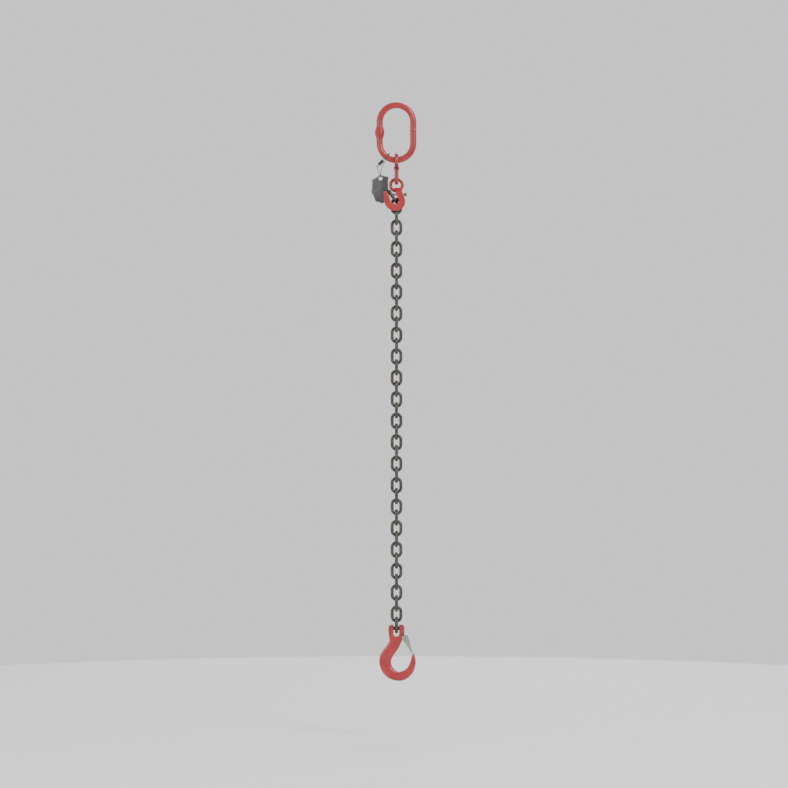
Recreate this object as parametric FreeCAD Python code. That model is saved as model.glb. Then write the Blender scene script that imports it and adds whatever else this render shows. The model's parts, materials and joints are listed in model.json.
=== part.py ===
import FreeCAD, Part
import os
from math import cos, pi, radians, sin

# Single leg chain sling: master link, connecting link, shortening hook, 41 chain links, sling hook.
# Frame: X right, Y back, Z up.  Origin: the seat of the crane hook, the inner top of the master link.
# The sling hangs straight down the -Z axis.  All sizes are in millimetres.

V = FreeCAD.Vector
X, Y, Z = V(1, 0, 0), V(0, 1, 0), V(0, 0, 1)
FAR = 40.0                  # a cutting shape reaches this far past the axis
PRESS_FIT = 0.02

# Master link
MASTER_WIRE = 14.5
MASTER_INNER_WIDTH = 61.0
MASTER_INNER_LENGTH = 109.0
BOSS_DROP = 54.0            # forged pad on the left bar, below the seat
BOSS_HEIGHT, BOSS_WIDTH, BOSS_DEPTH = 29.0, 21.6, 16.5
WELD_DROP = 50.0            # weld bead on the right bar, below the seat
WELD_SWELL, WELD_HALF_HEIGHT = 0.8, 1.2

# Connecting link: two forged halves on one load pin
COUPLER_WIRE = 9.2
COUPLER_HALF_WIDTH = 13.2   # centreline, from the middle to a leg
COUPLER_PLAY = 0.15
UPPER_REACH, LOWER_REACH = 17.55, 19.75     # from each crown's arc centre to the load pin
LUG_RADIUS = 6.2
LUG_GAP = 0.3
LUG_NECK = 7.0              # the round wire stops this far from the pin's axis
LUG_HALF_WIDTH = 4.2
LUG_INSET = 0.1             # a lug is this much thinner than the wire on each face
LOAD_PIN_RADIUS = 3.3
LOAD_PIN_PROUD, LOAD_PIN_CHAMFER = 0.2, 0.6
PIN_PLAY = 0.1              # every load-bearing hole is this much larger in radius than its pin
BUSH_RADIUS, BUSH_END_PLAY = 5.6, 0.2

# Shortening hook, measured from the centre of its eye
EYE_HOLE = 9.5
EYE_RADIAL, EYE_HALF_DEPTH = 3.85, 5.5
EYE_RISE = 0.35             # play between the eye and the connecting link
FIRST_LEAN = 34.5           # link 1 leans this far to the left, past the eye
CLAW_FRONT, CLAW_BACK = -17.0, -4.0
SAFETY_PIN_DROP = 21.5      # below the eye's centre
SAFETY_PIN_Y = -3.5
SAFETY_PIN_RADIUS, SAFETY_PIN_PLAY = 2.2, 0.15
SAFETY_PIN_TIP = -23.5
SAFETY_PIN_HEAD = (16.5, 21.6, 23.6)    # X where its head flares out, is widest, and ends
SAFETY_PIN_HEAD_RADIUS, SAFETY_PIN_HEAD_ROUND = 5.0, 0.6
GROOVE_MIDDLE, GROOVE_RADIUS = 0.9, 1.3     # the detent's ring groove: a torus outside the pin
DETENT_X = 6.5
DETENT_BORE, DETENT_BALL = 1.7, 1.5
DETENT_WALL = 5.0           # metal left in front of the detent's blind bore
DETENT_COIL_RADIUS, DETENT_WIRE, DETENT_TURNS = 1.1, 0.5, 4

# Chain
CHAIN_WIRE = 7.2
CHAIN_INNER_WIDTH = 12.4
CHAIN_INNER_LENGTH = 24.25
CHAIN_LINKS = 41
LINK_PLAY = 0.1
FIRST_SEAT = V(0.5, 0, -211.6)  # middle of the lower crown of link 1, at rest in the shortening hook

# Sling hook, measured from its clevis pin
CLEVIS_PIN_RADIUS, CLEVIS_PIN_CHAMFER = 4.5, 0.7
CLEVIS_LEFT, CLEVIS_RIGHT = -18.2, 18.0
SLOT_LEFT, SLOT_RIGHT, SLOT_DEPTH = -7.0, 6.1, 19.0
EAR_RADIUS = 8.6
HOOK_HALF_DEPTH, BOWL_THINNING = 8.8, 1.6
ROLL_PIN_RADIUS, ROLL_PIN_BORE = 1.5, 0.7
ROLL_PIN_LENGTH, ROLL_PIN_SLIT = 15.2, 0.5
ROLL_PIN_X = 12.0
LATCH_X, LATCH_Z = 16.2, -22.5
LATCH_LUG, LATCH_LUG_RADIUS = 6.5, 5.5      # half its thickness, and its end's radius
LATCH_SLOT, LATCH_SLOT_RADIUS = 3.2, 5.9    # the spring's slot in the lug
LATCH_PLAY = 0.35
LATCH_SHEET = 1.5
LATCH_PIN_RADIUS, LATCH_PIN_PLAY = 2.0, 0.15
LATCH_HEAD_RADIUS, LATCH_HEAD_HEIGHT = 3.3, 1.1
LATCH_TAPER_START, LATCH_TAPER_END, LATCH_TOE = 34.0, 57.0, 3.4   # drops, and half width at the end
LATCH_POCKET = 9.6
COIL_RADIUS, COIL_WIRE, COIL_TURNS, COIL_HEIGHT = 3.3, 0.9, 4, 4.4

# Identification tag, its ferrule and its wire
TAG_FRONT, TAG_SHEET, TAG_CORNER = 18.4, 2.0, 0.8
TAG_HOLLOW = 1.1            # how far each edge curves in
TAG_HOLE = V(-36.0, 0, -156.4)
TAG_HOLE_RADIUS = 4.3
WIRE_RADIUS = 0.8
FERRULE_CENTRE = V(-35.0, 0, -121.7)
FERRULE_RADIUS, FERRULE_LENGTH, FERRULE_ROUND = 4.3, 14.0, 1.2
FERRULE_LEAN = 45.0
STRAND_Y = 0.95             # each strand lies this far from the ferrule's axis

# Worked-out places down the sling
master_bend = (MASTER_INNER_WIDTH + MASTER_WIRE) / 2
coupler_inner = COUPLER_HALF_WIDTH - COUPLER_WIRE / 2
coupler_outer = COUPLER_HALF_WIDTH + COUPLER_WIRE / 2
upper_crown_z = -MASTER_INNER_LENGTH + COUPLER_PLAY - coupler_inner
load_pin_z = upper_crown_z - UPPER_REACH
lower_crown_z = load_pin_z - LOWER_REACH
grab_eye_z = lower_crown_z - coupler_inner + EYE_RISE - EYE_HOLE
link_step = CHAIN_INNER_LENGTH - LINK_PLAY
last_seat_z = FIRST_SEAT.z - (CHAIN_LINKS - 1) * link_step
clevis_z = last_seat_z + CHAIN_WIRE / 2 + CLEVIS_PIN_RADIUS + LINK_PLAY
roll_pin_z = clevis_z - CLEVIS_PIN_RADIUS - 0.4
cheek_inner = LATCH_LUG + LATCH_PLAY
cheek_outer = cheek_inner + LATCH_SHEET

parts = {}


def fuse(shapes):
    """One solid from shapes that overlap."""
    return shapes[0].fuse(shapes[1:]).removeSplitter()


def rod(start, end, radius):
    """Round bar from one point to another."""
    return Part.makeCylinder(radius, (end - start).Length, start, end - start)


def block(low, high):
    """Box from its lowest to its highest corner."""
    size = high - low
    return Part.makeBox(size.x, size.y, size.z, low)


def rims(solid):
    """Round edges of a turned part."""
    return [edge for edge in solid.Edges if isinstance(edge.Curve, Part.Circle)]


def disc(centre, normal, radius):
    """Flat round face."""
    return Part.Face(Part.Wire(Part.makeCircle(radius, centre, normal)))


def extrude_xz(edges, front, back):
    """Solid between two Y values from edges drawn in the XZ plane at Y=0."""
    face = Part.Face(Part.Wire(edges))
    face.translate(Y * front)
    return face.extrude(Y * (back - front))


def polygon_xz(points):
    """Straight edges through XZ points, closed."""
    corners = [V(x, 0, z) for x, z in points]
    return [Part.makeLine(a, b) for a, b in zip(corners, corners[1:] + corners[:1])]


def curve_xz(points):
    """One smooth edge through XZ points."""
    spline = Part.BSplineCurve()
    spline.interpolate([V(x, 0, z) for x, z in points])
    return spline.toShape()


def ring_link(wire, inner_width, inner_length):
    """Round-wire link in the XZ plane, centred on the origin, its long axis on Z."""
    bend = (inner_width + wire) / 2
    half = (inner_length - inner_width) / 2
    shapes = []
    for side in (1, -1):
        centre = V(0, 0, side * half)
        section = disc(centre + X * bend, Z, wire / 2)
        shapes.append(section.revolve(centre, Y * -side, 180))
        shapes.append(rod(V(side * bend, 0, -half), V(side * bend, 0, half), wire / 2))
    return fuse(shapes)


def tube(route, radius):
    """Round wire along straight runs joined by tangent arcs, one arc at each inner point."""
    edges, bends, here = [], [], route[0]
    for before, point, after in zip(route, route[1:], route[2:]):
        into, out = (point - before), (after - point)
        run = min(into.Length, out.Length)
        turn = into.getAngle(out)
        into.normalize()
        out.normalize()
        cut = 0.45 * run
        start, end = point - into * cut, point + out * cut
        bend = cut / (sin(turn / 2) / cos(turn / 2))
        towards = out - into
        towards.normalize()
        centre = point + towards * (bend / cos(turn / 2))
        toward_point = point - centre
        toward_point.normalize()
        edges.append(Part.makeLine(here, start))
        edges.append(Part.Arc(start, centre + toward_point * bend, end).toShape())
        bends.append(bend)
        here = end
    edges.append(Part.makeLine(here, route[-1]))
    path = Part.Wire(edges)
    section = Part.Wire(Part.makeCircle(radius, route[0], route[1] - route[0]))
    solid = path.makePipeShell([section], True, False, 2)
    print("wire of %.1f mm, length %.1f, tightest bend %.1f, volume ratio %.3f"
          % (2 * radius, path.Length, min(bends), solid.Volume / (path.Length * pi * radius ** 2)))
    return solid


def coil(start, radius, height, turns):
    """Points round a helix that climbs along Y, eight to a turn."""
    steps = 8 * turns
    return [start + V(radius * cos(2 * pi * i / 8), height * i / steps, radius * sin(2 * pi * i / 8))
            for i in range(steps + 1)]


# A forging's section: corners as parts of its half width and half depth
FORGED_CORNERS = [(1, 0.45), (0.62, 1), (-0.62, 1), (-1, 0.45),
                  (-1, -0.45), (-0.62, -1), (0.62, -1), (1, -0.45)]


def forging(stations):
    """Forged bar: one short loft between each two sections, rectangles with their corners cut off.

    A station is the outer and the inner point of the outline, each as (x, z), and the section's
    lowest and highest Y."""
    sections = []
    for outer, inner, front, back in stations:
        a, b = V(outer[0], 0, outer[1]), V(inner[0], 0, inner[1])
        middle, reach = (a + b) / 2 + Y * (front + back) / 2, (b - a) / 2
        depth = Y * (back - front) / 2
        points = []
        for c, s in FORGED_CORNERS:
            points.append(middle + reach * c + depth * s)
        sections.append(Part.makePolygon(points + points[:1]))
    spans = [Part.makeLoft([a, b], True, True) for a, b in zip(sections, sections[1:])]
    return spans[0].fuse(spans[1:])


def make_master_link():
    """Welded oval ring with a forged pad on its left bar and a weld bead on its right bar."""
    ring = ring_link(MASTER_WIRE, MASTER_INNER_WIDTH, MASTER_INNER_LENGTH)
    ring.translate(Z * (-MASTER_INNER_LENGTH / 2))
    pad = Part.makeSphere(1.0)
    scale = FreeCAD.Matrix()
    scale.scale(BOSS_WIDTH / 2, BOSS_DEPTH / 2, BOSS_HEIGHT / 2)
    pad = pad.transformGeometry(scale)
    pad.translate(V(-master_bend, 0, -BOSS_DROP))
    bead_middle = MASTER_WIRE / 2 - WELD_HALF_HEIGHT
    bead = Part.makeTorus(bead_middle, WELD_HALF_HEIGHT + WELD_SWELL, V(master_bend, 0, -WELD_DROP), Z)
    return fuse([ring, pad, bead])


def make_coupler_half(arc_z, up):
    """U of round wire in the YZ plane; up is +1 for the half whose crown is on top.

    Each leg ends in a flat eye on the load pin.  One leg's eye is the outer layer and the other's is
    the inner layer, so that the two halves fit into each other."""
    centre = V(0, 0, arc_z)
    shapes = [disc(centre + Y * COUPLER_HALF_WIDTH, Z, COUPLER_WIRE / 2).revolve(centre, X * up, 180)]
    stop = load_pin_z + up * LUG_NECK
    for side in (1, -1):
        leg = Y * (side * COUPLER_HALF_WIDTH)
        shapes.append(rod(centre + leg, V(0, 0, stop) + leg, COUPLER_WIRE / 2))
        outer = side == up
        if outer:
            near, far = COUPLER_HALF_WIDTH + LUG_GAP / 2, coupler_outer - 2 * LUG_INSET
        else:
            near, far = coupler_inner + LUG_INSET, COUPLER_HALF_WIDTH - LUG_GAP / 2
        low, high = sorted((side * near, side * far))
        eye = rod(V(0, low, load_pin_z), V(0, high, load_pin_z), LUG_RADIUS)
        z_low, z_high = sorted((load_pin_z, stop + up))
        neck = block(V(-LUG_HALF_WIDTH, low, z_low), V(LUG_HALF_WIDTH, high, z_high))
        shapes += [eye, neck]
    bore = rod(V(0, -FAR, load_pin_z), V(0, FAR, load_pin_z), LOAD_PIN_RADIUS + PIN_PLAY)
    return fuse(shapes).cut(bore)


def make_coupler_pin():
    """Load pin of the connecting link, with a chamfer at both ends."""
    end = coupler_outer + LOAD_PIN_PROUD
    pin = rod(V(0, -end, load_pin_z), V(0, end, load_pin_z), LOAD_PIN_RADIUS)
    return pin.makeChamfer(LOAD_PIN_CHAMFER, rims(pin))


def make_coupler_bush():
    """Sleeve that keeps the load pin in place, between the legs."""
    end = coupler_inner - BUSH_END_PLAY
    sleeve = rod(V(0, -end, load_pin_z), V(0, end, load_pin_z), BUSH_RADIUS)
    return sleeve.cut(rod(V(0, -FAR, load_pin_z), V(0, FAR, load_pin_z), LOAD_PIN_RADIUS + PRESS_FIT))


def make_grab_hook():
    """Shortening hook: an eye, a cranked shank and an upward claw with a leaning throat."""
    e = grab_eye_z
    section = Part.Wire(Part.Ellipse(V(0, 0, 0), EYE_HALF_DEPTH, EYE_RADIAL).toShape())
    section.rotate(V(0, 0, 0), Z, 90)
    eye_bend = EYE_HOLE + EYE_RADIAL
    section.translate(X * eye_bend)
    eye = Part.Face(section)
    eye.translate(Z * e)
    eye = eye.revolve(V(0, 0, e), Y, 360)
    outer = curve_xz([(10.8, e - 5.5), (14.2, e - 18.5), (19.4, e - 33.6), (16.9, e - 49.0),
                      (4.5, e - 58.2), (-8.5, e - 58.4), (-20.9, e - 51.4), (-27.6, e - 38.5),
                      (-28.3, e - 24.2)])
    tip = Part.Arc(V(-28.3, 0, e - 24.2), V(-24.8, 0, e - 14.5), V(-19.7, 0, e - 19.4)).toShape()
    inner = curve_xz([(-19.7, e - 19.4), (-15.0, e - 29.5), (-9.6, e - 40.2), (-1.5, e - 43.1),
                      (5.2, e - 39.2), (3.3, e - 31.5)])
    throat = Part.makeLine(V(3.3, 0, e - 31.5), V(-5.8, 0, e - 6.5))
    close = Part.makeLine(V(-5.8, 0, e - 6.5), V(10.8, 0, e - 5.5))
    body = extrude_xz([outer, tip, inner, throat, close], CLAW_FRONT, EYE_HALF_DEPTH)
    side = [V(-FAR, y, e + z) for y, z in
            [(-EYE_HALF_DEPTH, 0), (EYE_HALF_DEPTH, 0), (EYE_HALF_DEPTH, -3), (0.0, -12.0), (0.0, -25.0),
             (CLAW_BACK, -27.5), (CLAW_BACK, -50.5), (-8.0, -52.0), (-12.0, -54.8), (-14.6, -62.0),
             (CLAW_FRONT, -56.0), (CLAW_FRONT, -18.0), (-EYE_HALF_DEPTH, -6.0)]]
    crank = Part.Face(Part.makePolygon(side + side[:1])).extrude(X * (2 * FAR))
    hook = fuse([eye, body.common(crank)])
    z = e - SAFETY_PIN_DROP
    bore = rod(V(SAFETY_PIN_TIP - 0.3, SAFETY_PIN_Y, z), V(FAR, SAFETY_PIN_Y, z),
               SAFETY_PIN_RADIUS + SAFETY_PIN_PLAY)
    detent = rod(V(DETENT_X, CLAW_FRONT + DETENT_WALL, z), V(DETENT_X, SAFETY_PIN_Y, z), DETENT_BORE)
    return hook.cut([bore, detent])


def make_safety_pin():
    """Sliding pin that closes the throat, with a ring groove for the detent ball."""
    z = grab_eye_z - SAFETY_PIN_DROP
    start, wide, end = [V(x, SAFETY_PIN_Y, z) for x in SAFETY_PIN_HEAD]
    pin = rod(V(SAFETY_PIN_TIP, SAFETY_PIN_Y, z), wide, SAFETY_PIN_RADIUS)
    cap = rod(wide, end, SAFETY_PIN_HEAD_RADIUS)
    outer_rims = [rim for rim in rims(cap) if rim.Curve.Center.x > wide.x + 1]
    cap = cap.makeFillet(SAFETY_PIN_HEAD_ROUND, outer_rims)
    flare = Part.makeCone(SAFETY_PIN_RADIUS, SAFETY_PIN_HEAD_RADIUS, wide.x - start.x, start, X)
    groove_circle = SAFETY_PIN_RADIUS + GROOVE_MIDDLE
    groove = Part.makeTorus(groove_circle, GROOVE_RADIUS, V(DETENT_X, SAFETY_PIN_Y, z), X)
    return fuse([pin, flare, cap]).cut(groove)


def make_detent():
    """Ball and spring that hold the safety pin shut, in a blind bore of the shank."""
    z = grab_eye_z - SAFETY_PIN_DROP
    ball_y = SAFETY_PIN_Y - SAFETY_PIN_RADIUS - DETENT_BORE
    ball = Part.makeSphere(DETENT_BALL, V(DETENT_X, ball_y, z))
    start = CLAW_FRONT + DETENT_WALL + 0.4
    end = ball_y - DETENT_BALL - 0.5
    route = coil(V(DETENT_X, start, z), DETENT_COIL_RADIUS, end - start, DETENT_TURNS)
    return ball, tube(route, DETENT_WIRE / 2)


def make_chain():
    """The links, hung one in the other.  Odd links lie in the YZ plane and even links in XZ."""
    link = ring_link(CHAIN_WIRE, CHAIN_INNER_WIDTH, CHAIN_INNER_LENGTH)
    seat_drop = (CHAIN_INNER_LENGTH + CHAIN_WIRE) / 2   # link's centre to its lower crown's wire centre
    for number in range(1, CHAIN_LINKS + 1):
        piece = link.copy()
        if number % 2:
            piece.rotate(V(0, 0, 0), Z, 90)
        lean = FIRST_LEAN if number == 1 else 0
        seat = FIRST_SEAT - Z * ((number - 1) * link_step)
        if number > 1:
            seat.x = 0
        piece.translate(Z * seat_drop)
        piece.rotate(V(0, 0, 0), Y, -lean)
        piece.translate(seat)
        parts["chain_link_%02d" % number] = piece


def make_sling_hook():
    """Clevis on top, open bowl below, a thinner lug for the latch on the right of the shank."""
    c, d = clevis_z, HOOK_HALF_DEPTH
    outline = extrude_xz(polygon_xz([(CLEVIS_LEFT, c - 8), (CLEVIS_LEFT, c + 3.2), (-12.0, c + 9),
                                     (14.0, c + 9), (CLEVIS_RIGHT, c + 3.2), (CLEVIS_RIGHT, c - 12),
                                     (14.5, c - 23), (13.55, c - 24), (-16.2, c - 24)]), -d, d)
    body = block(V(CLEVIS_LEFT, -d, c - 24), V(CLEVIS_RIGHT, d, c))
    body = fuse([body, rod(V(CLEVIS_LEFT, 0, c), V(CLEVIS_RIGHT, 0, c), EAR_RADIUS)])
    ears = body.common(outline)
    full, thin = (-d, d), (-d + BOWL_THINNING, d - BOWL_THINNING)
    bowl = forging([
        ((-16.9, c - 18), (15.0, c - 19)) + full, ((-15.8, c - 27), (12.4, c - 27)) + full,
        ((-21.5, c - 38), (7.4, c - 40)) + full, ((-30.0, c - 49.5), (0.4, c - 51.5)) + full,
        ((-36.6, c - 61), (-7.2, c - 62.5)) + full, ((-39.0, c - 73), (-12.0, c - 73.5)) + thin,
        ((-37.6, c - 85), (-10.8, c - 83.5)) + thin, ((-31.0, c - 100), (-5.2, c - 92)) + full,
        ((-17.5, c - 112.8), (1.5, c - 96.6)) + full, ((3.0, c - 118.8), (8.0, c - 97.4)) + full,
        ((21.5, c - 115), (15.6, c - 95.6)) + full, ((36.5, c - 101), (24.2, c - 88.8)) + full,
        ((43.2, c - 83), (30.0, c - 78)) + full, ((43.0, c - 69), (32.8, c - 68.5)) + thin,
        ((40.8, c - 60.5), (34.8, c - 61.5)) + (-4.8, 4.8), ((38.9, c - 56.6), (37.4, c - 57)) + (-2, 2)])
    pivot = V(LATCH_X, 0, c + LATCH_Z)
    lug = rod(pivot - Y * LATCH_LUG, pivot + Y * LATCH_LUG, LATCH_LUG_RADIUS)
    web = block(V(6.0, -LATCH_LUG, c - 30), V(13.0, LATCH_LUG, c - 16))
    hook = ears.fuse([lug, web, bowl])
    arch = (SLOT_RIGHT - SLOT_LEFT) / 2
    floor = V((SLOT_LEFT + SLOT_RIGHT) / 2, -FAR, c - SLOT_DEPTH + arch)
    slot = fuse([block(V(SLOT_LEFT, -FAR, floor.z), V(SLOT_RIGHT, FAR, c + FAR)),
                 rod(floor, floor + Y * (2 * FAR), arch)])
    cuts = [slot, rod(V(-FAR, 0, c), V(FAR, 0, c), CLEVIS_PIN_RADIUS + PIN_PLAY)]
    cuts.append(rod(V(ROLL_PIN_X, -FAR, roll_pin_z), V(ROLL_PIN_X, FAR, roll_pin_z),
                    ROLL_PIN_RADIUS + PRESS_FIT))
    for side in (1, -1):
        cuts.append(rod(pivot + Y * (side * LATCH_LUG), pivot + Y * (side * FAR), LATCH_POCKET))
    cuts.append(rod(pivot - Y * LATCH_SLOT, pivot + Y * LATCH_SLOT, LATCH_SLOT_RADIUS))
    cuts.append(rod(pivot - Y * FAR, pivot + Y * FAR, LATCH_PIN_RADIUS + 0.05))
    return hook.cut(cuts)


def make_clevis_pins():
    """Load pin across the clevis and the roll pin that keys it in the right ear."""
    c = clevis_z
    pin = rod(V(CLEVIS_LEFT, 0, c), V(CLEVIS_RIGHT, 0, c), CLEVIS_PIN_RADIUS)
    pin = pin.makeChamfer(CLEVIS_PIN_CHAMFER, rims(pin))
    end, slit = ROLL_PIN_LENGTH / 2, ROLL_PIN_SLIT / 2
    ends = V(ROLL_PIN_X, -end, roll_pin_z), V(ROLL_PIN_X, end, roll_pin_z)
    roll = rod(*ends, ROLL_PIN_RADIUS).cut(rod(*ends, ROLL_PIN_BORE))
    gap = block(V(ROLL_PIN_X - slit, -end, roll_pin_z - 2 * ROLL_PIN_RADIUS),
                V(ROLL_PIN_X + slit, end, roll_pin_z))
    groove_radius = ROLL_PIN_RADIUS + PIN_PLAY
    groove = rod(V(ROLL_PIN_X, -FAR, roll_pin_z), V(ROLL_PIN_X, FAR, roll_pin_z), groove_radius)
    return pin.cut(groove), roll.cut(gap)


def make_latch():
    """Sheet channel: two cheeks on the pivot pin and a back that reaches the hook's tip."""
    c = clevis_z
    pivot = V(LATCH_X, 0, c + LATCH_Z)
    back = [(24.8, c - 16.2), (28.6, c - 25.4), (31.2, c - 38.0), (36.4, c - 56.2)]
    front = [(34.8, c - 57.4), (29.6, c - 48.6), (23.9, c - 40.0), (16.8, c - 29.2), (11.6, c - 26.4)]
    profile = [(12.6, c - 17.4), (19.5, c - 15.8)] + back + front
    inside = [(24.8, c), (24.8, c - 16.6), (28.6, c - 25.9), (31.2, c - 38.4), (34.9, c - 51.4)]
    inside = [(x - LATCH_SHEET, z) for x, z in inside] + [(20.0, c - 60.0), (-5.0, c - 40.0), (-5.0, c)]
    outer = extrude_xz(polygon_xz(profile), -cheek_outer, cheek_outer).common(latch_width(0))
    inner = extrude_xz(polygon_xz(inside), -cheek_inner, cheek_inner).common(latch_width(LATCH_SHEET))
    bore = rod(pivot - Y * FAR, pivot + Y * FAR, LATCH_PIN_RADIUS + LATCH_PIN_PLAY)
    return outer.cut([inner, bore])


def latch_width(wall):
    """What lies between the latch's two cheeks, a wall's thickness in from each: narrower at the end."""
    wide, narrow = cheek_outer - wall, LATCH_TOE - wall
    levels = [(wide, 0), (wide, LATCH_TAPER_START),
              (narrow, LATCH_TAPER_END), (narrow, 2 * LATCH_TAPER_END)]
    half = [V(-FAR, y, clevis_z - drop) for y, drop in levels]
    other = [V(-FAR, -point.y, point.z) for point in reversed(half)]
    return Part.Face(Part.makePolygon(half + other + half[:1])).extrude(X * (3 * FAR))


def make_latch_pin():
    """Headed pivot pin of the latch."""
    pivot = V(LATCH_X, 0, clevis_z + LATCH_Z)
    near = cheek_outer + 0.2
    far = near + LATCH_HEAD_HEIGHT
    shank = rod(pivot - Y * far, pivot + Y * far, LATCH_PIN_RADIUS)
    heads = [rod(pivot + side * near, pivot + side * far, LATCH_HEAD_RADIUS) for side in (Y, -Y)]
    return fuse([shank] + heads)


def make_latch_spring():
    """Torsion coil round the pivot pin with one leg along the latch's back."""
    pivot = V(LATCH_X, 0, clevis_z + LATCH_Z)
    route = coil(pivot - Y * (COIL_HEIGHT / 2), COIL_RADIUS, COIL_HEIGHT, COIL_TURNS)
    last = route[-1]
    route += [last + V(1.6, 0, -2.2), last + V(5.4, 0, -11.0)]
    return tube(route, COIL_WIRE / 2)


def make_tag():
    """Eight-sided sheet tag with hollow edges and a hole near its top."""
    outline = [(-37.0, -147.5), (-18.2, -152.2), (-17.6, -196.0), (-22.0, -209.0),
               (-32.0, -213.5), (-47.5, -208.5), (-57.0, -187.5), (-55.3, -159.3)]
    edges = []
    for (ax, az), (bx, bz) in zip(outline, outline[1:] + outline[:1]):
        a, b = V(ax, 0, az), V(bx, 0, bz)
        inward = Y.cross(b - a)
        inward.normalize()
        edges.append(Part.Arc(a, (a + b) / 2 + inward * TAG_HOLLOW, b).toShape())
    tag = extrude_xz(edges, TAG_FRONT, TAG_FRONT + TAG_SHEET)
    corners = [edge for edge in tag.Edges if abs(edge.tangentAt(edge.FirstParameter).y) > 0.9]
    tag = tag.makeFillet(TAG_CORNER, corners)
    return tag.cut(rod(TAG_HOLE, TAG_HOLE + Y * FAR, TAG_HOLE_RADIUS))


def make_ferrule():
    """Crimped sleeve with a bore for each strand of the wire."""
    along = V(cos(radians(FERRULE_LEAN)), 0, sin(radians(FERRULE_LEAN)))
    start = FERRULE_CENTRE - along * (FERRULE_LENGTH / 2)
    sleeve = rod(start, start + along * FERRULE_LENGTH, FERRULE_RADIUS)
    sleeve = sleeve.makeFillet(FERRULE_ROUND, rims(sleeve))
    bores = []
    for strand in (Y * STRAND_Y, Y * -STRAND_Y):
        bores.append(rod(start - along + strand, start + along * (FERRULE_LENGTH + 1) + strand,
                         WIRE_RADIUS + 0.05))
    return sleeve.cut(bores)


# Route of the tag's wire: its cut tail, the ferrule, over the master link, down behind, through the
# tag's hole, up in front and back into the ferrule.
WIRE_ROUTE = [
    V(-46.7, -0.95, -133.4), V(-28.3, -0.95, -115.0), V(-27.2, -9.2, -113.2), V(-21.8, -11.8, -107.6),
    V(-16.8, -8.8, -101.9), V(-15.0, -2.8, -100.2), V(-15.0, 3.5, -100.2), V(-17.5, 9.8, -103.2),
    V(-22.5, 13.6, -111.0), V(-28.5, 17.5, -121.5), V(-33.3, 20.6, -133.0), V(-35.8, 22.8, -144.0),
    V(-36.1, 22.8, -151.6), V(-36.1, 19.4, -154.4), V(-36.2, 15.8, -151.4), V(-37.8, 13.4, -145.4),
    V(-41.6, 9.2, -140.0), V(-43.8, 4.2, -134.2), V(-41.9, 0.95, -128.6), V(-31.5, 0.95, -118.2)]


def build():
    parts["master_link"] = make_master_link()
    parts["coupler_upper_half"] = make_coupler_half(upper_crown_z, 1)
    parts["coupler_lower_half"] = make_coupler_half(lower_crown_z, -1)
    parts["coupler_pin"] = make_coupler_pin()
    parts["coupler_bush"] = make_coupler_bush()
    parts["grab_hook"] = make_grab_hook()
    parts["safety_pin"] = make_safety_pin()
    parts["detent_ball"], parts["detent_spring"] = make_detent()
    make_chain()
    parts["sling_hook"] = make_sling_hook()
    parts["clevis_pin"], parts["clevis_roll_pin"] = make_clevis_pins()
    parts["latch"] = make_latch()
    parts["latch_pin"] = make_latch_pin()
    parts["latch_spring"] = make_latch_spring()
    parts["id_tag"] = make_tag()
    parts["tag_ferrule"] = make_ferrule()
    parts["tag_wire"] = tube(WIRE_ROUTE, WIRE_RADIUS)


build()
os.makedirs("parts", exist_ok=True)
for name, shape in parts.items():
    if len(shape.Solids) != 1 or not shape.isValid():
        print("check", name, len(shape.Solids), "solids, valid:", shape.isValid())
    shape.exportStep("parts/%s.step" % name)
print(len(parts), "parts; load pin %.2f, lower crown %.2f, eye %.2f, clevis pin %.2f"
      % (load_pin_z, lower_crown_z, grab_eye_z, clevis_z))
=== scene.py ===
import json
from math import cos, exp, pi, radians, sin, sqrt

import bmesh
import bpy
from mathutils import Matrix, Vector


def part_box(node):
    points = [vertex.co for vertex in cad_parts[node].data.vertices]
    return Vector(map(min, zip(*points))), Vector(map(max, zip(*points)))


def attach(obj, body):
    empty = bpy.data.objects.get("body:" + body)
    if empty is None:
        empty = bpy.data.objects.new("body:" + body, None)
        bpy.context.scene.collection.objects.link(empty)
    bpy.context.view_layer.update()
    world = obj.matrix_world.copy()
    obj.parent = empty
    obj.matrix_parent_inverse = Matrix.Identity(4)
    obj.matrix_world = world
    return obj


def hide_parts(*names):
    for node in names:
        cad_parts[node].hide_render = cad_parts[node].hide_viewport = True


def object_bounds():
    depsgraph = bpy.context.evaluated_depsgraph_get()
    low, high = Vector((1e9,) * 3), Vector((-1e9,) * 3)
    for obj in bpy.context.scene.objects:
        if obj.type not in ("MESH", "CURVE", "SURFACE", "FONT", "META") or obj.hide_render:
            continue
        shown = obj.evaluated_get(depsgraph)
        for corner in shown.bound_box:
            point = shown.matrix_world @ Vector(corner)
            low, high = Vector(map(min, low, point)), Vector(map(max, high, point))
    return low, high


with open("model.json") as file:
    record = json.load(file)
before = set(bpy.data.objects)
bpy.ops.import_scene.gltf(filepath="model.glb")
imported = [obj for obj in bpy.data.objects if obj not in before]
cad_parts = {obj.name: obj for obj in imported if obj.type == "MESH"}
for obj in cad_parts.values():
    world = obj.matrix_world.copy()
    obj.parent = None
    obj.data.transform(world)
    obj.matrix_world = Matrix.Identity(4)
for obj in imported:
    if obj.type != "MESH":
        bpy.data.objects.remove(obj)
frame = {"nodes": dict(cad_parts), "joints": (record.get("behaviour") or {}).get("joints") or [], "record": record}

# The single leg chain sling's looks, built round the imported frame.  Lengths in metres.
MM = 0.001
Y, Z = Vector((0, 1, 0)), Vector((0, 0, 1))

cad_low, cad_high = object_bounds()
NODES = frame["nodes"]
HINGE_AXES = {joint["child"]: Vector(joint["axis"]) for joint in frame["joints"]}

# Camera: long lens, level with the sling's middle, seen from the front
VIEW_WIDTH = 1.773
VIEW_CENTRE = Vector((-0.0056, 0, -0.6426))
CAMERA_DISTANCE = 7.0
SENSOR = 36.0

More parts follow.
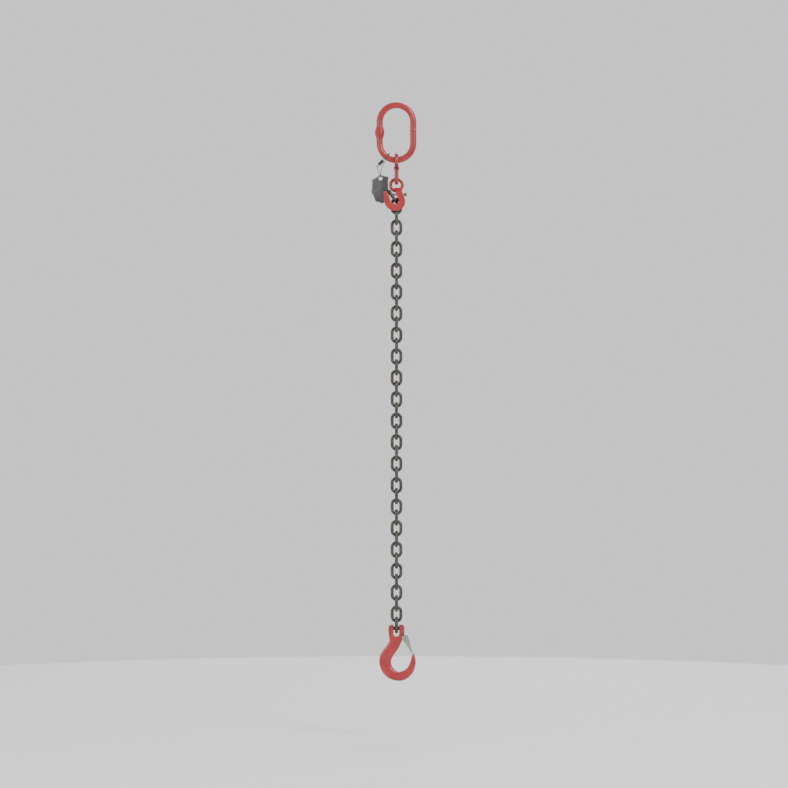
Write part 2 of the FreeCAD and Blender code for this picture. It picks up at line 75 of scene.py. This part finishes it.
# Sizes shared by the pieces below
MASTER_WIRE, MASTER_INNER_WIDTH, MASTER_INNER_LENGTH = 14.5 * MM, 61.0 * MM, 109.0 * MM
PAD_DROP, PAD_SHOULDER = 54.0 * MM, 10.8 * MM
CHAIN_WIRE, CHAIN_INNER_WIDTH, CHAIN_INNER_LENGTH = 7.2 * MM, 12.4 * MM, 24.25 * MM
ROPE_RADIUS = 0.8 * MM
FERRULE_LENGTH, FERRULE_RADIUS = 14.0 * MM, 4.3 * MM
FERRULE_RINGS, FERRULE_AROUND = 57, 28
FERRULE_WAISTS, WAIST_WIDTH, WAIST_DEPTH = (0.25, 0.5, 0.75), 0.05, 0.10
FERRULE_FLATNESS = 0.93
STRAND_COUNT, STRAND_LAY = 6, 9 * MM
FLOOR_RADIUS, FLOOR_DROP = 2.2, 0.13

# The forged pad on the master link, and the rim on it
PAD_SWELL = 0.48
MASTER_WELD_Z, MASTER_WELD_WIDTH = 4.5 * MM, 1.6 * MM
RIM_HALF_WIDTH, RIM_HALF_HEIGHT = 6.2 * MM, 11.5 * MM
RIM_BEAD, RIM_LIFT = 0.75 * MM, 0.55 * MM
PAD_FACE_Y, PAD_FACE_REACH, PAD_FACE_POWER = 7.9 * MM, 10.6 * MM, 2.2
CHAIN_WELD_WIDTH, CHAIN_WELD_WANDER = 1.5 * MM, 0.35 * MM

# Voxel size and smoothing passes of each forging: more passes round its edges more
COUPLER_SKIN = (0.4 * MM, 6)
GRAB_HOOK_SKIN = (0.6 * MM, 40)
SLING_HOOK_SKIN = (0.7 * MM, 5)
CLEVIS_CUT = 26.5 * MM      # below the clevis pin, where the bowl takes over
BOWL_SQUARENESS, BOWL_AROUND, BOWL_STEPS = 2.9, 28, 10
EDGE_BEVEL, EDGE_STEPS = 0.35 * MM, 3


# ---------------------------------------------------------------- stage

def make_camera():
    data = bpy.data.cameras.new("camera")
    data.sensor_width = SENSOR
    data.lens = SENSOR * CAMERA_DISTANCE / VIEW_WIDTH
    data.clip_end = 60
    camera = bpy.data.objects.new("camera", data)
    camera.location = VIEW_CENTRE - Y * CAMERA_DISTANCE
    camera.rotation_euler = (pi / 2, 0, 0)
    bpy.context.scene.collection.objects.link(camera)
    bpy.context.scene.camera = camera


def add_area(name, location, target, size, power):
    data = bpy.data.lights.new(name, "AREA")
    data.shape = "RECTANGLE"
    data.size, data.size_y = size
    data.energy = power
    light = bpy.data.objects.new(name, data)
    light.location = location
    light.rotation_euler = (Vector(target) - Vector(location)).to_track_quat("-Z", "Y").to_euler()
    bpy.context.scene.collection.objects.link(light)


def make_stage():
    """Pale floor under the hanging sling, pale surroundings and soft lights."""
    bm = bmesh.new()
    bmesh.ops.create_circle(bm, cap_ends=True, segments=96, radius=FLOOR_RADIUS)
    mesh = bpy.data.meshes.new("floor")
    bm.to_mesh(mesh)
    bm.free()
    floor = bpy.data.objects.new("floor", mesh)
    floor.location = (0, 0, cad_low.z - FLOOR_DROP)
    bpy.context.scene.collection.objects.link(floor)
    material = bpy.data.materials.new("floor_paint")
    material.use_nodes = True
    shader = material.node_tree.nodes["Principled BSDF"]
    shader.inputs["Base Color"].default_value = (0.86, 0.86, 0.85, 1)
    shader.inputs["Roughness"].default_value = 0.9
    floor.data.materials.append(material)
    world = bpy.data.worlds.new("world")
    world.use_nodes = True
    background = world.node_tree.nodes["Background"]
    background.inputs["Color"].default_value = (0.96, 0.965, 0.97, 1)
    background.inputs["Strength"].default_value = 1.0
    bpy.context.scene.world = world
    middle = (0, 0, -0.6)
    add_area("key", (2.4, -2.6, 1.6), middle, (1.2, 2.2), 100)
    add_area("fill", (-2.8, -1.8, 0.2), middle, (1.0, 2.6), 30)
    add_area("rim", (0.6, 2.8, 1.4), middle, (1.6, 2.0), 45)


# ---------------------------------------------------------------- materials

class Shader:
    """A material being built: short calls that add and join nodes."""

    def __init__(self, name):
        self.material = bpy.data.materials.new(name)
        self.material.use_nodes = True
        self.tree = self.material.node_tree
        self.out = self.tree.nodes["Principled BSDF"]
        self.place = self.tree.nodes.new("ShaderNodeTexCoord").outputs["Object"]

    def node(self, kind, **inputs):
        made = self.tree.nodes.new(kind)
        for key, value in inputs.items():
            self.put(made.inputs[key.replace("_", " ")], value)
        return made

    def put(self, socket, value):
        if isinstance(value, bpy.types.NodeSocket):
            self.tree.links.new(value, socket)
        else:
            socket.default_value = value

    def set(self, **inputs):
        for key, value in inputs.items():
            self.put(self.out.inputs[key.replace("_", " ")], value)

    def noise(self, scale, detail=4.0, rough=0.55):
        made = self.node("ShaderNodeTexNoise", Vector=self.place, Scale=scale, Detail=detail,
                         Roughness=rough)
        return made.outputs["Fac"]

    def ramp(self, value, stops):
        made = self.tree.nodes.new("ShaderNodeValToRGB")
        self.put(made.inputs["Fac"], value)
        elements = made.color_ramp.elements
        while len(elements) < len(stops):
            elements.new(0.5)
        for element, (position, colour) in zip(elements, stops):
            element.position = position
            element.color = (*colour, 1) if isinstance(colour, tuple) else (colour, colour, colour, 1)
        return made.outputs["Color"]

    def mix(self, amount, low, high):
        made = self.tree.nodes.new("ShaderNodeMix")
        made.data_type = "RGBA"
        self.put(made.inputs[0], amount)
        for socket, value in ((made.inputs[6], low), (made.inputs[7], high)):
            self.put(socket, (*value, 1) if isinstance(value, tuple) else value)
        return made.outputs[2]

    def maths(self, operation, a, b):
        made = self.tree.nodes.new("ShaderNodeMath")
        made.operation = operation
        self.put(made.inputs[0], a)
        self.put(made.inputs[1], b)
        return made.outputs[0]

    def bump(self, height, distance, strength=1.0, under=None):
        made = self.node("ShaderNodeBump", Height=height, Distance=distance, Strength=strength)
        if under is not None:
            self.put(made.inputs["Normal"], under)
        return made.outputs["Normal"]

    def edges(self, low, high):
        """1 on sharp outer edges and 0 elsewhere."""
        pointed = self.tree.nodes.new("ShaderNodeNewGeometry").outputs["Pointiness"]
        return self.ramp(pointed, [(low, 0.0), (high, 1.0)])


def red_paint():
    """Glossy red paint over a forging: soft ripple, painted shade in patches (a darker copy of the red, placed by
    noise), a few chips to dark steel.
    """
    s = Shader("red_paint")
    tone = s.ramp(s.noise(38), [(0.3, (0.27, 0.008, 0.011)), (0.7, (0.40, 0.016, 0.020))])
    # Painted shade: a darker copy of the red, mixed in at patches that the noise picks
    painted_shade = s.ramp(s.noise(120, 6), [(0.34, 1.0), (0.47, 0.0)])
    tone = s.mix(s.maths("MULTIPLY", painted_shade, 0.45), tone, (0.19, 0.008, 0.010))
    speckle = s.ramp(s.noise(420, 5), [(0.63, 0.0), (0.67, 1.0)])
    chips = s.maths("MULTIPLY", s.edges(0.53, 0.60), speckle)
    steel = s.ramp(s.noise(300), [(0.3, (0.05, 0.04, 0.035)), (0.7, (0.16, 0.13, 0.11))])
    ripple = s.bump(s.noise(260, 2), 0.25 * MM, 0.35)
    grain = s.bump(s.noise(1300, 2), 0.05 * MM, 0.35, ripple)
    s.set(Base_Color=s.mix(chips, tone, steel), Normal=grain, Coat_Weight=0.35, Coat_Roughness=0.12)
    s.set(Roughness=s.ramp(s.noise(90), [(0.3, 0.26), (0.7, 0.40)]), Specular_IOR_Level=0.5)
    return s.material


def steel(name, dark, light, metallic, rough, scale=220, relief=0.12):
    """Bare steel between two tones, with fine relief and uneven gloss."""
    s = Shader(name)
    tone = s.ramp(s.noise(scale, 6), [(0.28, dark), (0.72, light)])
    s.set(Base_Color=tone, Metallic=metallic)
    s.set(Roughness=s.ramp(s.noise(scale * 0.6), [(0.3, rough - 0.08), (0.7, rough + 0.10)]))
    s.set(Normal=s.bump(s.noise(scale * 4, 3), relief * MM, 0.4))
    return s.material


def chain_steel():
    """Heat-treated chain: dark oiled skin, brown stains, brighter rubbed crowns."""
    s = Shader("chain_steel")
    skin = s.ramp(s.noise(170, 6), [(0.3, (0.040, 0.038, 0.033)), (0.7, (0.115, 0.108, 0.092))])
    stain = s.ramp(s.noise(60, 5), [(0.55, 0.0), (0.72, 1.0)])
    skin = s.mix(s.maths("MULTIPLY", stain, 0.5), skin, (0.085, 0.052, 0.030))
    rubbed = s.ramp(s.noise(480, 4), [(0.60, 0.0), (0.70, 1.0)])
    skin = s.mix(s.maths("MULTIPLY", rubbed, 0.35), skin, (0.32, 0.31, 0.28))
    s.set(Base_Color=skin, Metallic=0.75)
    s.set(Roughness=s.ramp(s.noise(240, 4), [(0.3, 0.30), (0.7, 0.50)]))
    s.set(Normal=s.bump(s.noise(900, 4), 0.10 * MM, 0.45, s.bump(s.noise(190, 2), 0.22 * MM, 0.35)))
    return s.material


def make_materials():
    return {
        "red_paint": red_paint(),
        "chain_steel": chain_steel(),
        "dark_steel": steel("dark_steel", (0.035, 0.033, 0.030), (0.09, 0.085, 0.08), 0.8, 0.38),
        "bright_steel": steel("bright_steel", (0.42, 0.42, 0.41), (0.60, 0.60, 0.58), 1.0, 0.28),
        "zinc_steel": steel("zinc_steel", (0.24, 0.26, 0.24), (0.40, 0.42, 0.39), 0.9, 0.38, 130, 0.05),
        "tag_steel": steel("tag_steel", (0.075, 0.075, 0.075), (0.125, 0.125, 0.125), 0.35, 0.45, 90, 0.08),
        "wire_rope": steel("wire_rope", (0.10, 0.092, 0.06), (0.24, 0.22, 0.16), 0.85, 0.40, 700, 0.04),
        "ferrule_black": steel("ferrule_black", (0.018, 0.018, 0.022), (0.05, 0.05, 0.058),
                               0.5, 0.36, 200, 0.06),
    }


# ---------------------------------------------------------------- mesh tools

def new_piece(name, verts, faces, slot_name, body, stands_for=(), smooth=True):
    """A finished mesh, painted, riding on its body, in place of its CAD nodes."""
    mesh = bpy.data.meshes.new(name)
    mesh.from_pydata([tuple(v) for v in verts], [], faces)
    mesh.validate()
    mesh.update()
    piece = bpy.data.objects.new(name, mesh)
    bpy.context.scene.collection.objects.link(piece)
    return dress(piece, slot_name, body, stands_for, smooth)


def dress(piece, slot_name, body, stands_for=(), smooth=True):
    piece.data.materials.clear()
    piece.data.materials.append(MATERIALS[slot_name])
    piece.data.polygons.foreach_set("use_smooth", [smooth] * len(piece.data.polygons))
    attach(piece, body)
    if stands_for:
        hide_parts(*stands_for)
    return piece


def skin(rings, closed=False):
    """Vertices and faces of a tube through rings of points; closed joins the last ring to the first."""
    count = len(rings[0])
    verts = [point for ring in rings for point in ring]
    faces = []
    spans = len(rings) if closed else len(rings) - 1
    for i in range(spans):
        a, b = i * count, ((i + 1) % len(rings)) * count
        for k in range(count):
            m = (k + 1) % count
            faces.append((a + k, a + m, b + m, b + k))
    if not closed:
        faces.append(tuple(reversed(range(count))))
        faces.append(tuple(range(len(verts) - count, len(verts))))
    return verts, faces


def oval_path(inner_width, inner_length, wire, per_turn, per_side):
    """Centreline of a link in its own plane: (across, along, outward across, outward along, side).

    side is how far a point is along a straight leg, from -1 to 1, with its leg's sign, or None."""
    bend = (inner_width + wire) / 2
    half = (inner_length - inner_width) / 2
    path = []
    for sign in (1, -1):
        for i in range(per_turn):
            angle = pi * i / per_turn + (0 if sign > 0 else pi)
            u, w = cos(angle), sin(angle)
            path.append((bend * u, sign * half + bend * w, u, w, None))
        for i in range(per_side):
            part = 1 - 2 * i / per_side
            path.append((-sign * bend, sign * half * part, -sign, 0, (-sign, sign * part)))
    return path


def link_mesh(wire, inner_width, inner_length, bulge, per_turn=24, per_side=10, around=20):
    """Rings of a round-wire link in the XZ plane; bulge(leg, part, height) swells the wire."""
    rings = []
    for across, along, out_u, out_w, leg in oval_path(inner_width, inner_length, wire, per_turn, per_side):
        grow_in, grow_deep, lift = bulge(leg, along)
        ring = []
        for k in range(around):
            angle = 2 * pi * k / around
            reach = (wire / 2) * cos(angle) * grow_in + lift
            depth = (wire / 2) * sin(angle) * grow_deep
            ring.append(Vector((across + out_u * reach, depth, along + out_w * reach)))
        rings.append(ring)
    return skin(rings, closed=True)


def bell(x, width):
    """Smooth hump, 1 at x=0 and near 0 beyond the width."""
    return exp(-(x / width) ** 2)


def smooth_stations(stations, steps):
    """Catmull-Rom through rows of numbers."""
    rows = []
    last = len(stations) - 1
    for i in range(last):
        p0, p1 = stations[max(i - 1, 0)], stations[i]
        p2, p3 = stations[i + 1], stations[min(i + 2, last)]
        for k in range(steps):
            t = k / steps
            rows.append([0.5 * (2 * b + (c - a) * t + (2 * a - 5 * b + 4 * c - d) * t * t
                                + (3 * b - a - 3 * c + d) * t ** 3)
                         for a, b, c, d in zip(p0, p1, p2, p3)])
    rows.append(list(stations[-1]))
    return rows


def cut_copy(node, keep_above=None):
    """A copy of a CAD node's mesh, cut off level and capped at a height if one is given."""
    mesh = NODES[node].data.copy()
    mesh.materials.clear()
    bm = bmesh.new()
    bm.from_mesh(mesh)
    bmesh.ops.remove_doubles(bm, verts=bm.verts, dist=1e-6)
    if keep_above is not None:
        geometry = bm.verts[:] + bm.edges[:] + bm.faces[:]
        bmesh.ops.bisect_plane(bm, geom=geometry, plane_co=(0, 0, keep_above), plane_no=(0, 0, -1),
                               clear_outer=True)
        rim = [edge for edge in bm.edges if edge.is_boundary]
        bmesh.ops.holes_fill(bm, edges=rim, sides=0)
    bmesh.ops.triangulate(bm, faces=bm.faces[:])
    bm.to_mesh(mesh)
    bm.free()
    return mesh


def forged(name, meshes, voxel, passes):
    """One skin over overlapping solids, with its edges rounded as a forging's are."""
    bm = bmesh.new()
    for mesh in meshes:
        bm.from_mesh(mesh)
    joined = bpy.data.meshes.new(name)
    bm.to_mesh(joined)
    bm.free()
    rough = bpy.data.objects.new(name, joined)
    bpy.context.scene.collection.objects.link(rough)
    remesh = rough.modifiers.new("skin", "REMESH")
    remesh.mode = "VOXEL"
    remesh.voxel_size = voxel
    remesh.adaptivity = 0
    smooth = rough.modifiers.new("round", "SMOOTH")
    smooth.factor = 0.5
    smooth.iterations = passes
    graph = bpy.context.evaluated_depsgraph_get()
    done = bpy.data.meshes.new_from_object(rough.evaluated_get(graph))
    rough.modifiers.clear()
    rough.data = done
    return rough


# ---------------------------------------------------------------- pieces

def make_master_link():
    """Oval ring with a flat-faced oval pad forged on its left leg and a weld on its right leg."""
    pad_z = MASTER_INNER_LENGTH / 2 - PAD_DROP

    def bulge(leg, along):
        if leg is None:
            return 1, 1, 0
        if leg[0] < 0:
            part = exp(-abs((along - pad_z) / PAD_SHOULDER) ** 3)
            return 1 + PAD_SWELL * part, 1 + 0.10 * part, 0
        part = bell(along - MASTER_WELD_Z, MASTER_WELD_WIDTH)
        return 1 + 0.10 * part, 1 + 0.10 * part, 0

    verts, faces = link_mesh(MASTER_WIRE, MASTER_INNER_WIDTH, MASTER_INNER_LENGTH, bulge, 40, 44, 32)
    verts = [v - Z * (MASTER_INNER_LENGTH / 2) for v in verts]
    new_piece("master_link_ring", verts, faces, "red_paint", "master_link", ["master_link"])
    make_pad_rim(pad_z - MASTER_INNER_LENGTH / 2)


def make_pad_rim(height):
    """Raised oval rim on the front and on the back of the forged pad, with a plain field inside it."""
    centre_x = -(MASTER_INNER_WIDTH + MASTER_WIRE) / 2
    for side, label in ((-1, "front"), (1, "back")):
        rings = []
        for i in range(48):
            angle = 2 * pi * i / 48
            out = Vector((cos(angle), 0, sin(angle)))
            middle = Vector((centre_x + RIM_HALF_WIDTH * cos(angle), 0,
                             height + RIM_HALF_HEIGHT * sin(angle)))
            inset = abs(RIM_HALF_WIDTH * cos(angle)) / PAD_FACE_REACH
            surface = PAD_FACE_Y * sqrt(max(0.0, 1 - inset ** PAD_FACE_POWER))
            middle.y = side * surface
            ring = []
            for k in range(10):
                turn = 2 * pi * k / 10
                ring.append(middle + out * (RIM_BEAD * cos(turn)) + Y * (side * RIM_LIFT * sin(turn)))
            rings.append(ring)
        verts, faces = skin(rings, closed=True)
        new_piece("master_link_pad_rim_" + label, verts, faces, "red_paint", "master_link")


def make_chain():
    """Every link with its weld on one leg, a little uneven from link to link."""
    for name, node in NODES.items():
        if not name.startswith("chain_link_"):
            continue
        number = int(name[-2:])
        side = 1 if number % 4 < 2 else -1
        uneven = CHAIN_WELD_WANDER * sin(number * 2.4)

        def bulge(leg, along):
            if leg is None or leg[0] != side:
                return 1, 1, 0
            part = bell(along - uneven, CHAIN_WELD_WIDTH)
            return 1 + 0.13 * part, 1 + 0.09 * part, -0.10 * MM * part

        verts, faces = link_mesh(CHAIN_WIRE, CHAIN_INNER_WIDTH, CHAIN_INNER_LENGTH, bulge)
        low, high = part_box(name)
        body = "link_" + name[-2:]
        normal = HINGE_AXES[body].normalized()
        if normal.x < -0.5 or normal.y < -0.5:
            normal = -normal
        along = Z if abs(normal.y) > 0.5 else Y.cross(normal) * -1
        across = normal.cross(along) * -1
        middle = (low + high) / 2
        verts = [middle + across * v.x + normal * v.y + along * v.z for v in verts]
        if Matrix((across, normal, along)).determinant() < 0:
            faces = [tuple(reversed(face)) for face in faces]
        new_piece(name + "_steel", verts, faces, "chain_steel", body, [name])


# The sling hook's bowl, from under the clevis to the tip, in millimetres from the clevis pin: outer
# x and z, inner x and z, half depth
BOWL = [
    (-16.9, -18.0, 15.0, -19.0, 8.8), (-15.8, -27.0, 12.4, -27.0, 8.8), (-21.5, -38.0, 7.4, -40.0, 8.8),
    (-30.0, -49.5, 0.4, -51.5, 8.8), (-36.6, -61.0, -7.2, -62.5, 8.8), (-39.0, -73.0, -12.0, -73.5, 7.2),
    (-37.6, -85.0, -10.8, -83.5, 7.2), (-31.0, -100.0, -5.2, -92.0, 8.8), (-17.5, -112.8, 1.5, -96.6, 8.8),
    (3.0, -118.8, 8.0, -97.4, 8.8), (21.5, -115.0, 15.6, -95.6, 8.8), (36.5, -101.0, 24.2, -88.8, 8.8),
    (43.2, -83.0, 30.0, -78.0, 8.8), (43.0, -69.0, 32.8, -68.5, 7.2), (40.8, -60.5, 34.8, -61.5, 4.8),
    (38.9, -56.6, 37.4, -57.0, 2.0)]


def bowl_mesh(centre_z):
    """The bowl as one smooth bar; its section is an oval with flattened faces."""
    rings = []
    for outer_x, outer_z, inner_x, inner_z, depth in smooth_stations(BOWL, BOWL_STEPS):
        a = Vector((outer_x, 0, outer_z)) * MM
        b = Vector((inner_x, 0, inner_z)) * MM
        middle, reach = (a + b) / 2, (b - a) / 2
        ring = []
        for k in range(BOWL_AROUND):
            angle = 2 * pi * k / BOWL_AROUND
            c, s = cos(angle), sin(angle)
            square = (abs(c) ** BOWL_SQUARENESS + abs(s) ** BOWL_SQUARENESS) ** (-1 / BOWL_SQUARENESS)
            ring.append(middle + reach * c * square + Y * (depth * MM * s * square) + Z * centre_z)
        rings.append(ring)
    verts, faces = skin(rings)
    mesh = bpy.data.meshes.new("bowl")
    mesh.from_pydata([tuple(v) for v in verts], [], faces)
    return mesh


def make_sling_hook():
    """Clevis and shank from the frame, bowl as a smooth bar, one forged skin over both."""
    low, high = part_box("clevis_pin")
    pin_z = (low.z + high.z) / 2
    upper = cut_copy("sling_hook", pin_z - CLEVIS_CUT)
    hook = forged("sling_hook_forging", [upper, bowl_mesh(pin_z)], *SLING_HOOK_SKIN)
    dress(hook, "red_paint", "sling_hook", ["sling_hook"])


def make_grab_hook():
    hook = forged("grab_hook_forging", [cut_copy("grab_hook")], *GRAB_HOOK_SKIN)
    dress(hook, "red_paint", "grab_hook", ["grab_hook"])


def make_coupler():
    for half in ("upper", "lower"):
        node = "coupler_%s_half" % half
        piece = forged(node + "_forging", [cut_copy(node)], *COUPLER_SKIN)
        dress(piece, "red_paint", "coupler_" + half, [node])


# Route of the tag's wire, in millimetres: its cut tail, the ferrule, over the master link, down
# behind, through the tag's hole, up in front and back into the ferrule
WIRE_ROUTE = [
    (-46.7, -0.95, -133.4), (-28.3, -0.95, -115.0), (-27.2, -9.2, -113.2), (-21.8, -11.8, -107.6),
    (-16.8, -8.8, -101.9), (-15.0, -2.8, -100.2), (-15.0, 3.5, -100.2), (-17.5, 9.8, -103.2),
    (-22.5, 13.6, -111.0), (-28.5, 17.5, -121.5), (-33.3, 20.6, -133.0), (-35.8, 22.8, -144.0),
    (-36.1, 22.8, -151.6), (-36.1, 19.4, -154.4), (-36.2, 15.8, -151.4), (-37.8, 13.4, -145.4),
    (-41.6, 9.2, -140.0), (-43.8, 4.2, -134.2), (-41.9, 0.95, -128.6), (-31.5, 0.95, -118.2)]


def rope_line():
    """Points along the wire's smooth line, read from its spline."""
    curve = bpy.data.curves.new("wire_line", "CURVE")
    curve.dimensions = "3D"
    spline = curve.splines.new("NURBS")
    spline.points.add(len(WIRE_ROUTE) - 1)
    for point, place in zip(spline.points, WIRE_ROUTE):
        point.co = (*(Vector(place) * MM), 1)
    spline.order_u = 3
    spline.use_endpoint_u = True
    spline.resolution_u = 12
    line = bpy.data.objects.new("wire_line", curve)
    bpy.context.scene.collection.objects.link(line)
    mesh = bpy.data.meshes.new_from_object(line.evaluated_get(bpy.context.evaluated_depsgraph_get()))
    points = [v.co.copy() for v in mesh.vertices]
    bpy.data.objects.remove(line)
    return points


def make_tag_wire():
    """Strands laid round a core along the wire's line."""
    points = rope_line()
    length = sum((b - a).length for a, b in zip(points, points[1:]))
    strand = ROPE_RADIUS * 0.40
    verts, faces = [], []
    tangents = [(points[min(i + 1, len(points) - 1)] - points[max(i - 1, 0)]).normalized()
                for i in range(len(points))]
    normal = tangents[0].orthogonal().normalized()
    normals = []
    for tangent in tangents:
        normal = (normal - tangent * normal.dot(tangent)).normalized()
        normals.append(normal.copy())
    walked = [0.0]
    for a, b in zip(points, points[1:]):
        walked.append(walked[-1] + (b - a).length)
    for index in range(STRAND_COUNT + 1):
        offset = 0 if index == STRAND_COUNT else ROPE_RADIUS - strand
        rings = []
        for point, tangent, side, far in zip(points, tangents, normals, walked):
            other = tangent.cross(side)
            turn = 2 * pi * (index / STRAND_COUNT + far / STRAND_LAY)
            centre = point + (side * cos(turn) + other * sin(turn)) * offset
            rings.append([centre + (side * cos(2 * pi * k / 8) + other * sin(2 * pi * k / 8)) * strand
                          for k in range(8)])
        more_verts, more_faces = skin(rings)
        base = len(verts)
        verts += more_verts
        faces += [tuple(base + v for v in face) for face in more_faces]
    wire = new_piece("tag_wire_rope", verts, faces, "wire_rope", "tag_wire", ["tag_wire"])
    return wire, points, length


def make_ferrule():
    """Crimped sleeve: a lathe-turned outline with three pressed waists, squeezed a little flat."""
    along = Vector((1, 0, 1)).normalized()
    low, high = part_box("tag_ferrule")
    middle = (low + high) / 2
    side = Y.copy()
    flat = along.cross(side)
    rings = []
    for i in range(FERRULE_RINGS):
        t = i / (FERRULE_RINGS - 1)
        end = min(1.0, sin(pi * t) ** 0.5 * 1.9 + 0.72) if 0 < t < 1 else 0.72
        waist = 1 - WAIST_DEPTH * sum(bell(t - place, WAIST_WIDTH) for place in FERRULE_WAISTS)
        radius = FERRULE_RADIUS * min(1, end) * waist * 0.98
        centre = middle + along * (FERRULE_LENGTH * (t - 0.5))
        ring = []
        for k in range(FERRULE_AROUND):
            angle = 2 * pi * k / FERRULE_AROUND
            flattened = radius * FERRULE_FLATNESS * sin(angle)
            ring.append(centre + side * (radius * cos(angle)) + flat * flattened)
        rings.append(ring)
    verts, faces = skin(rings)
    return new_piece("tag_ferrule_sleeve", verts, faces, "ferrule_black", "tag_wire", ["tag_ferrule"])


def make_tag():
    """The tag's plate with soft edges, left blank."""
    plate = bpy.data.objects.new("id_tag_plate", cut_copy("id_tag"))
    bpy.context.scene.collection.objects.link(plate)
    tidy = plate.modifiers.new("flat", "DECIMATE")
    tidy.decimate_type = "DISSOLVE"
    tidy.angle_limit = radians(3)
    bevel = plate.modifiers.new("edge", "BEVEL")
    bevel.width = EDGE_BEVEL
    bevel.segments = EDGE_STEPS
    bevel.limit_method = "ANGLE"
    bevel.angle_limit = radians(40)
    graph = bpy.context.evaluated_depsgraph_get()
    done = bpy.data.meshes.new_from_object(plate.evaluated_get(graph))
    plate.modifiers.clear()
    plate.data = done
    dress(plate, "tag_steel", "id_tag", ["id_tag"], smooth=False)
    return plate


def finish_small_nodes():
    """CAD nodes that stay: their own finish, and a fine bevel on the latch, the latch pin, the safety pin and the
    coupler bush.
    """
    replaced = ("chain_link_", "master_link", "coupler_upper", "coupler_lower", "grab_hook", "sling_hook",
                "id_tag", "tag_")
    slots = {part["node"]: part["material_slot"] for part in frame["record"]["subparts"]}
    for name, node in NODES.items():
        if name.startswith(replaced):
            continue
        node.data.materials.clear()
        node.data.materials.append(MATERIALS[slots[name]])
        if name in ("latch", "latch_pin", "safety_pin", "coupler_bush"):
            bevel = node.modifiers.new("edge", "BEVEL")
            bevel.width = EDGE_BEVEL
            bevel.segments = EDGE_STEPS
            bevel.limit_method = "ANGLE"
            bevel.angle_limit = radians(35)


make_camera()
MATERIALS = make_materials()
wire, wire_points, wire_length = make_tag_wire()
ferrule = make_ferrule()
tag = make_tag()
make_stage()
make_master_link()
make_coupler()
make_grab_hook()
make_chain()
make_sling_hook()
finish_small_nodes()
